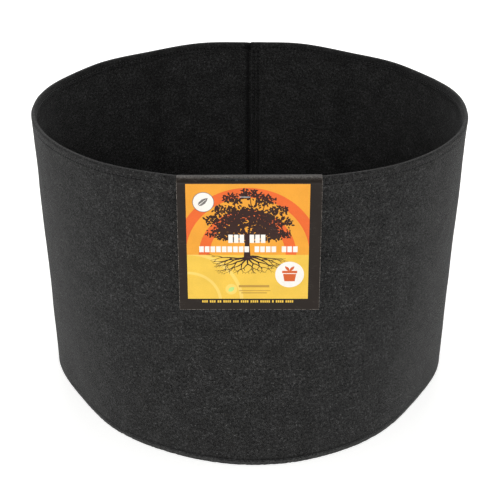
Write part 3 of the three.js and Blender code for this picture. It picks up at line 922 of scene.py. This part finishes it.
def artShapes():
    # every printed shape with its ink, from the bottom layer up
    x0, y0, x1, y1 = art["panel"]
    low, high = (x0, y0), (x1, y1)
    horizon = art["horizon"]
    shapes = [("amber", rect(x0, horizon, x1 - x0, y1 - horizon))]
    for inner, outer in art["rings"]:
        ring = band(art["stem"][0], horizon, inner, outer, 60, -0.2, math.pi + 0.2)
        shapes.append(("orange", clipped(ring, (x0, horizon), high)))
    shapes.append(("gold", rect(x0, y0, x1 - x0, horizon - y0)))
    fx, fy = art["furrowCentre"]
    for inner, outer in art["furrows"]:
        furrow = band(fx, fy, inner, outer, 30, -0.3, 1.9)
        shapes.append(("paleGold", clipped(furrow, low, (x1, horizon))))
    shapes += [("brown", shape) for shape in plantShapes()]
    for title in art["titles"]:
        shapes += [("white", shape) for shape in blocks(*title)]
    x, y, r = art["badge"]
    stalk = (x - 4.6 * mm, y - 3.4 * mm)
    vein = branchStrip(stalk, (x + 2.2 * mm, y + 2.3 * mm), 0.7 * mm, 0.3 * mm)
    shapes += [("grey", circle(x, y, r)), ("white", circle(x, y, r - 0.5 * mm)),
               ("grey", leaf(*stalk, 11.0 * mm, math.radians(40))), ("white", vein)]
    x, y, r = art["disc"]
    pot = [(x + side * mm, y + up * mm) for side, up in ((-4.4, -6.4), (4.4, -6.4), (5.6, 0.6), (-5.6, 0.6))]
    potRim = rect(x - 6.4 * mm, y + 1.3 * mm, 12.8 * mm, 2.3 * mm)
    shapes += [("white", circle(x, y, r)), ("rust", pot), ("rust", potRim)]
    shapes += [("rust", leaf(x, y + 3.4 * mm, 6.0 * mm, math.radians(degrees))) for degrees in (48, 132)]
    x, y, r = art["dot"]
    shapes += [("paleGold", circle(x, y, r, 32)),
               ("green", leaf(x - 2.6 * mm, y - 2.2 * mm, 6.6 * mm, math.radians(38), 0.6))]
    shapes += [("tan", rect(*bar)) for bar in art["smallBars"]]
    shapes += [("gold", shape) for shape in blocks(*art["footer"], share=0.72)]
    return shapes


def inside(places, shape):
    # which places a shape covers, by counting the edges to their right
    crossed = np.zeros(len(places), bool)
    near = np.flatnonzero(np.all((places >= shape.min(0)) & (places <= shape.max(0)), axis=1))
    x, y = places[near, 0, None], places[near, 1, None]
    before = np.roll(shape, 1, axis=0)
    spans = (shape[:, 1] > y) != (before[:, 1] > y)
    rise = before[:, 1] - shape[:, 1]
    at = shape[:, 0] + (y - shape[:, 1]) * (before[:, 0] - shape[:, 0]) / np.where(rise == 0, 1, rise)
    crossed[near] = (spans & (x < at)).sum(axis=1) % 2 == 1
    return crossed


def buildCard():
    half, vEnd = card["width"] / 2, flatLength + archLength
    c = card["corner"]
    outline = circle(-half + c, c, c, 5, math.pi, 1.5 * math.pi)
    outline += circle(half - c, c, c, 5, 1.5 * math.pi, 2 * math.pi)
    outline += [(half, vEnd), (-half, vEnd)]
    layers = [("border", outline)] + artShapes()
    bend = hinge[2] - card["bottom"]
    cuts = list(bend + card["bendReach"] * np.linspace(-1.1, 1.1, 12))
    cuts += list(flatLength + archLength * np.linspace(0, 1, 15)[:-1])
    cuts.append(card["rub"])
    points, polygons, edges = [], [], []
    for _, shape in layers:
        polygons.append(list(range(len(points), len(points) + len(shape))))
        points += shape if turnsLeft(shape) else shape[::-1]
    for v in cuts:
        edges.append((len(points), len(points) + 1))
        points += [(-half, v), (half, v)]
    for x in (-half + card["rub"], half - card["rub"]):
        edges.append((len(points), len(points) + 1))
        points += [(x, card["rub"]), (x, vEnd)]
    unit = 1000.0                # cut in millimetres, which its tolerance suits
    scaled = [(x * unit, y * unit) for x, y in points]
    flat, _, triangles = delaunay_2d_cdt(scaled, edges, polygons, 1, 1e-5)[:3]
    flat = np.array([(p[0], p[1]) for p in flat]) / unit
    names = list(inkMaterials)
    centres = flat[np.array(triangles)].mean(axis=1)
    topLayer = np.zeros(len(centres), int)
    for number, (_, shape) in enumerate(layers):
        topLayer[inside(centres, np.array(shape))] = number
    used = [(t, names.index(layers[k][0])) for t, k in zip(triangles, topLayer)]
    count = len(flat)
    frontSide = cardPoint(flat[:, 0], flat[:, 1], card["thick"] / 2)
    backSide = cardPoint(flat[:, 0], flat[:, 1], -card["thick"] / 2)
    faces = [list(t) for t, _ in used] + [[i + count for i in t][::-1] for t, _ in used]
    slots = [ink for _, ink in used] + [names.index("board")] * len(used)
    seen = {}
    for t, _ in used:
        for a, b in zip(t, list(t)[1:] + [t[0]]):
            seen[(a, b)] = True
    for a, b in list(seen):
        if (b, a) not in seen:
            faces.append([b, a, a + count, b + count])
            slots.append(names.index("cut"))
    toEdge = np.minimum(half - np.abs(flat[:, 0]), flat[:, 1])
    rubbed = np.where(toEdge < card["rub"] * 0.5, 0.8, 0.0)
    # a painted highlight along the top of the fold, in the same mask as the rubbed edges
    foldHighlight = np.exp(-((flat[:, 1] - flatLength - archLength * 0.42) / (1.6 * mm)) ** 2) * 0.2
    mask = np.tile(np.maximum(rubbed, foldHighlight), 2)
    piece = meshPiece("label_card", np.concatenate([frontSide, backSide]), faces,
                      list(inkMaterials.values()), 40, mask=mask, slots=slots)
    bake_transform(piece)
    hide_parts("label_flap", "label_saddle")


def buildInsideFlap():
    half, v0, rub = card["width"] / 2, flatLength + archLength, card["rub"]
    length = foldBase - card["insideBottom"]
    middle = np.linspace(-half + 2 * mm, half - 2 * mm, 33)
    xs = np.concatenate([[-half, -half + rub], middle, [half - rub, half]])
    vs = v0 + np.concatenate([np.linspace(0, length - 0.8 * mm, 14), [length - rub, length]])
    gridX, gridV = np.meshgrid(xs, vs, indexing="ij")
    outerSide = cardPoint(gridX, gridV, card["thick"] / 2)
    innerSide = cardPoint(gridX, gridV, -card["thick"] / 2)
    rows, columns = gridX.shape
    one = gridFaces(rows, columns, False)
    count = rows * columns
    faces = one.tolist() + (one[:, ::-1] + count).tolist()
    border = [i * columns for i in range(rows)] + [(rows - 1) * columns + j for j in range(1, columns)]
    border += [i * columns + columns - 1 for i in range(rows - 2, -1, -1)] + list(range(columns - 2, 0, -1))
    slots = [0] * len(one) + [1] * len(one) + [2] * len(border)
    faces += [[a, b, b + count, a + count] for a, b in zip(border, border[1:] + border[:1])]
    toEdge = np.minimum(half - np.abs(gridX), vs[-1] - gridV)
    mask = np.tile((np.clip(1 - toEdge / (0.5 * mm), 0, 1) * 0.8).ravel(), 2)
    points = np.concatenate([outerSide.reshape(-1, 3), innerSide.reshape(-1, 3)])
    materials = [inkMaterials[name] for name in ("border", "board", "cut")]
    piece = meshPiece("label_card_inside", points, faces, materials, 40, mask=mask, slots=slots)
    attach(piece, "bag")


buildCard()
buildInsideFlap()
print("label ready")


staple = {
    "wire": 0.28 * mm,           # the wire's radius
    "bend": 0.7 * mm,
    "crown": 9 * mm,
    "tipGap": 2.2 * mm,
    "tipRise": 0.35 * mm,        # how far the clinched tips press in
    "bow": 0.1 * mm,
    "sides": 12,
}


def buildStaple():
    low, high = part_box("staple")
    x = (low.x + high.x) / 2
    z = (low.z + high.z) / 2
    crownY = low.y + staple["wire"]
    clinchY = high.y - staple["wire"]
    half = staple["crown"] / 2
    tip, tipY = staple["tipGap"] / 2, clinchY - staple["tipRise"]
    corners = [(-tip, tipY), (-half, clinchY), (-half, crownY), (half, crownY), (half, clinchY), (tip, tipY)]
    corners = [np.array((x + cx, y, z)) for cx, y in corners]
    path = [corners[0]]
    for i in range(1, len(corners) - 1):
        before, here, after = corners[i - 1], corners[i], corners[i + 1]
        a = here + (before - here) / np.linalg.norm(before - here) * staple["bend"]
        b = here + (after - here) / np.linalg.norm(after - here) * staple["bend"]
        path += [a * (1 - t) ** 2 + here * 2 * t * (1 - t) + b * t ** 2 for t in np.linspace(0, 1, 7)]
    path.append(corners[-1])
    fine = [path[0]]
    for a, b in zip(path, path[1:]):
        steps = max(1, int(np.linalg.norm(b - a) / (0.7 * mm)))
        fine += [a + (b - a) * (k + 1) / steps for k in range(steps)]
    line = np.array(fine)
    # the crown bows out a little between its legs
    onCrown = np.clip(1 - ((line[:, 0] - x) / half) ** 2, 0, 1) * (line[:, 1] < crownY + 0.1 * mm)
    line[:, 1] -= staple["bow"] * onCrown
    piece = wireTube("staple_wire", line)
    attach(piece, "bag")
    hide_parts("staple")


def wireTube(name, line):
    # a round wire in a level plane with rounded ends
    tangent = np.gradient(line, axis=0)
    tangent /= np.linalg.norm(tangent, axis=1, keepdims=True)
    up = np.array((0, 0, 1.0))
    sideways = np.cross(tangent, up)
    around = 2 * math.pi * np.arange(staple["sides"]) / staple["sides"]
    circleAt = np.cos(around)[:, None] * up + np.sin(around)[:, None] * sideways[:, None]
    rings = line[:, None] + staple["wire"] * circleAt
    wire = staple["wire"]
    ends = []
    for ring, centre, way in ((rings[0], line[0], -tangent[0]), (rings[-1], line[-1], tangent[-1])):
        ends.append([centre + (ring - centre) * s + way * wire * f for s, f in ((0.8, 0.3), (0.4, 0.5))])
    rings = np.concatenate([[ends[0][1], ends[0][0]], rings, [ends[1][0], ends[1][1]]])
    rows, sides = rings.shape[:2]
    one = gridFaces(rows, sides, True)
    faces = one.tolist() + [list(range(sides)), [(rows - 1) * sides + s for s in range(sides)]]
    reach = np.linspace(0, 0.03, rows)
    uvs = np.stack([reach[one // sides], (one % sides) / sides], -1).reshape(-1, 2)
    uvs = np.concatenate([uvs, np.zeros((2 * sides, 2))])
    return meshPiece(name, rings, faces, [stapleSteel], 60, "strand", uvs)


buildStaple()
print("staple ready")
